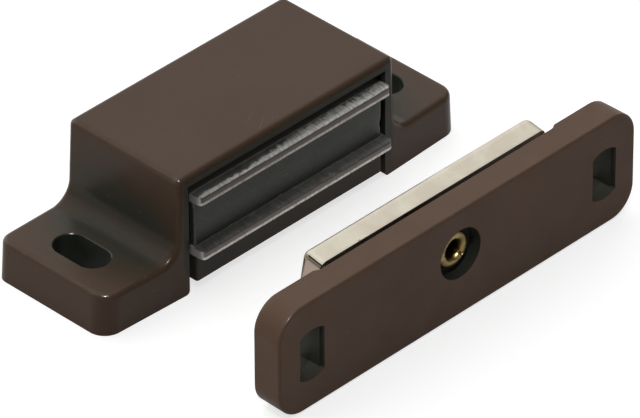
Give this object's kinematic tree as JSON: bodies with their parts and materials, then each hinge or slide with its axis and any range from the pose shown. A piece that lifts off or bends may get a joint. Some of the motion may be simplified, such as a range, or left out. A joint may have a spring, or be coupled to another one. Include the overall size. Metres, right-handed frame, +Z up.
{
  "type": "magnetic catch",
  "caption": "Moulded magnetic cabinet catch: flanged magnet housing with loose pole plates, and a counter bar with a rocking steel strike plate.",
  "frame": {"origin": "on the housing's base plane, midway between its two screw slots", "axes": "+X along the housing and the bar, +Z up from the base plane, -Y the way the pole plates face, towards the counter bar"},
  "size_m": [0.0609, 0.0433, 0.0164],
  "materials": {
    "brown_plastic": "smooth moulded, satin gloss",
    "retainer_plastic": "smooth moulded",
    "bar_plastic": "moulded, faint texture",
    "pole_steel": "zinc plated, rubbed edges",
    "ferrite": "matt sintered ferrite",
    "plated_steel": "nickel plated, bright",
    "rivet_brass": "rolled, slightly dull"
  },
  "bodies": {
    "housing_body": {"housing": "brown_plastic", "magnet_retainer": "retainer_plastic"},
    "magnet_pack": {"magnet_block": "ferrite", "lower_pole_plate": "pole_steel", "upper_pole_plate": "pole_steel"},
    "counter_piece": {"counter_bar": "bar_plastic", "tubular_rivet": "rivet_brass"},
    "strike": {"strike_plate": "plated_steel"}
  },
  "joints": [
    {"name": "pack_float", "type": "slide", "parent": "housing_body", "child": "magnet_pack", "axis": [0, 1, 0], "range_m": [-0.00045, 0.0008]},
    {"name": "counter_travel", "type": "slide", "parent": "housing_body", "child": "counter_piece", "axis": [0, 1, 0], "range_m": [-0.06, 0.0139]},
    {"name": "strike_rock", "type": "hinge", "parent": "counter_piece", "child": "strike", "pos_m": [0.00252, -0.02648, 0.00848], "axis": [1, 0, 0], "range_deg": [-20, 0]}
  ]
}
